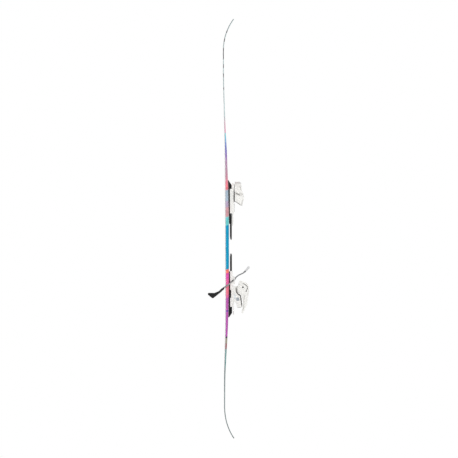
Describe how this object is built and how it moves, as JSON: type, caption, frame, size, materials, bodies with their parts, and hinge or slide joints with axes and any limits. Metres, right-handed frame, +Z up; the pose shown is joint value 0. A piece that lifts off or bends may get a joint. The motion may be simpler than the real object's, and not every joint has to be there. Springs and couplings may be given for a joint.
{
  "type": "alpine ski with step-in binding",
  "caption": "Twin-tip all-mountain ski, printed cap, steel edges, rail-mounted toe and heel binding with a spring ski brake, heel open and brake down.",
  "frame": {"origin": "on the ski's running base, on its middle line, under the middle of the boot", "axes": "+X towards the ski tip, +Y to the ski's left, +Z up, away from the snow"},
  "size_m": [1.523, 0.12, 0.1524],
  "materials": {
    "running_base": "sintered base, waxed, fine stone-ground structure",
    "steel": "ground steel",
    "glass_laminate": "glass fibre laminate",
    "core_wood": "raw poplar strips",
    "printed_cap": "gloss printed topsheet, pale grey ends to a blue, pink and violet middle",
    "black_plastic": "moulded, fine grain",
    "grey_plastic": "moulded, fine grain",
    "white_plastic": "moulded, satin gloss",
    "slide_plate": "low-friction plastic",
    "smoked_window": "clear indicator window",
    "red_plastic": "indicator nut",
    "spring_steel": "phosphated spring wire"
  },
  "bodies": {
    "ski": {"base_sheet": "running_base", "steel_edge_left": "steel", "steel_edge_right": "steel", "lower_laminate": "glass_laminate", "wood_core": "core_wood", "upper_laminate": "glass_laminate", "cap_topsheet": "printed_cap", "front_rail": "black_plastic", "rear_rail": "black_plastic", "front_rail_screw_1": "steel", "front_rail_screw_2": "steel", "front_rail_screw_3": "steel", "front_rail_screw_4": "steel", "rear_rail_screw_1": "steel", "rear_rail_screw_2": "steel", "rear_rail_screw_3": "steel", "rear_rail_screw_4": "steel"},
    "toe_unit": {"toe_base": "white_plastic", "toe_seat": "black_plastic", "toe_housing": "white_plastic", "toe_cap": "white_plastic", "wing_pin_left": "steel", "wing_pin_right": "steel", "toe_spring": "spring_steel", "toe_window": "smoked_window", "afd_base": "white_plastic"},
    "toe_latch": {"toe_latch": "white_plastic"},
    "wing_left": {"toe_wing_left": "white_plastic"},
    "wing_right": {"toe_wing_right": "white_plastic"},
    "toe_rod": {"toe_pull_rod": "steel"},
    "toe_nut": {"toe_indicator_nut": "red_plastic"},
    "toe_screw": {"toe_release_screw": "steel"},
    "sole_slide": {"afd_plate": "slide_plate"},
    "heel_unit": {"heel_base": "white_plastic", "brake_housing": "white_plastic", "brake_spring": "spring_steel"},
    "heel_body": {"heel_carriage": "white_plastic", "heel_housing": "white_plastic", "heel_axle": "steel", "heel_spring": "spring_steel", "heel_window": "smoked_window"},
    "heel_cup": {"heel_cup": "white_plastic"},
    "heel_lever": {"heel_lever": "white_plastic"},
    "heel_piston": {"heel_piston": "steel"},
    "heel_nut": {"heel_indicator_nut": "red_plastic"},
    "heel_screw": {"heel_release_screw": "steel"},
    "brake_arms": {"brake_wire_left": "steel", "brake_wire_right": "steel", "brake_foot_left": "black_plastic", "brake_foot_right": "black_plastic"},
    "brake_pedal": {"brake_pedal": "grey_plastic", "brake_pad": "slide_plate"}
  },
  "joints": [
    {"name": "toe_unit_slide", "type": "slide", "parent": "ski", "child": "toe_unit", "axis": [1, 0, 0], "range_m": [-0.036, 0.008]},
    {"name": "toe_latch_lift", "type": "hinge", "parent": "toe_unit", "child": "toe_latch", "pos_m": [0.108, 0, 0.0272], "axis": [0, 1, 0], "range_deg": [0, 20], "stiffness_Nm_per_rad": 0.3, "springref_deg": -11.46},
    {"name": "wing_left_swing", "type": "hinge", "parent": "toe_unit", "child": "wing_left", "pos_m": [0.172, 0.026, 0.05], "axis": [0, 0, -1], "range_deg": [0, 25], "stiffness_Nm_per_rad": 6, "springref_deg": -5.73},
    {"name": "wing_right_swing", "type": "hinge", "parent": "toe_unit", "child": "wing_right", "pos_m": [0.172, -0.026, 0.05], "axis": [0, 0, 1], "range_deg": [0, 25], "stiffness_Nm_per_rad": 6, "springref_deg": -5.73},
    {"name": "toe_rod_slide", "type": "slide", "parent": "toe_unit", "child": "toe_rod", "axis": [1, 0, 0], "range_m": [0, 0.005], "stiffness_N_per_m": 9000, "springref_m": -0.001, "deforming": ["toe_spring"]},
    {"name": "toe_screw_turn", "type": "hinge", "parent": "toe_unit", "child": "toe_screw", "pos_m": [0.214, 0, 0.0463], "axis": [1, 0, 0], "range_deg": [-540, 540]},
    {"name": "toe_nut_slide", "type": "slide", "parent": "toe_unit", "child": "toe_nut", "axis": [1, 0, 0], "range_m": [-0.0024, 0.0024]},
    {"name": "sole_plate_slide", "type": "slide", "parent": "toe_unit", "child": "sole_slide", "axis": [0, 1, 0], "range_m": [-0.005, 0.005], "stiffness_N_per_m": 400},
    {"name": "heel_unit_slide", "type": "slide", "parent": "ski", "child": "heel_unit", "axis": [1, 0, 0], "range_m": [-0.008, 0.03]},
    {"name": "forward_pressure_slide", "type": "slide", "parent": "heel_unit", "child": "heel_body", "axis": [-1, 0, 0], "range_m": [0, 0.008], "stiffness_N_per_m": 7000, "springref_m": -0.003},
    {"name": "heel_cup_close", "type": "hinge", "parent": "heel_body", "child": "heel_cup", "pos_m": [-0.157, 0, 0.064], "axis": [0, 1, 0], "range_deg": [0, 36]},
    {"name": "heel_lever_lift", "type": "hinge", "parent": "heel_cup", "child": "heel_lever", "pos_m": [-0.157, 0, 0.064], "axis": [0, 1, 0], "range_deg": [0, 8], "stiffness_Nm_per_rad": 0.8, "springref_deg": -17.19},
    {"name": "heel_piston_slide", "type": "slide", "parent": "heel_body", "child": "heel_piston", "axis": [-1, 0, 0], "range_m": [0, 0.004], "stiffness_N_per_m": 9000, "springref_m": -0.001, "deforming": ["heel_spring"]},
    {"name": "heel_screw_turn", "type": "hinge", "parent": "heel_body", "child": "heel_screw", "pos_m": [-0.2245, 0, 0.05], "axis": [1, 0, 0], "range_deg": [-540, 540]},
    {"name": "heel_nut_slide", "type": "slide", "parent": "heel_body", "child": "heel_nut", "axis": [1, 0, 0], "range_m": [-0.0024, 0.0024]},
    {"name": "brake_arm_swing", "type": "hinge", "parent": "heel_unit", "child": "brake_arms", "pos_m": [-0.131, 0, 0.0306], "axis": [0, 1, 0], "range_deg": [0, 57], "stiffness_Nm_per_rad": 2.6, "springref_deg": -42.97},
    {"name": "brake_pedal_swing", "type": "hinge", "parent": "heel_unit", "child": "brake_pedal", "pos_m": [-0.131, 0, 0.0306], "axis": [0, 1, 0], "range_deg": [0, 48]}
  ],
  "couplings": [
    {"joint": "toe_nut_slide", "follows": "toe_screw_turn", "m_per_rad": 0.00025},
    {"joint": "heel_nut_slide", "follows": "heel_screw_turn", "m_per_rad": 0.00025},
    {"joint": "brake_pedal_swing", "follows": "brake_arm_swing", "ratio": 0.8421}
  ]
}
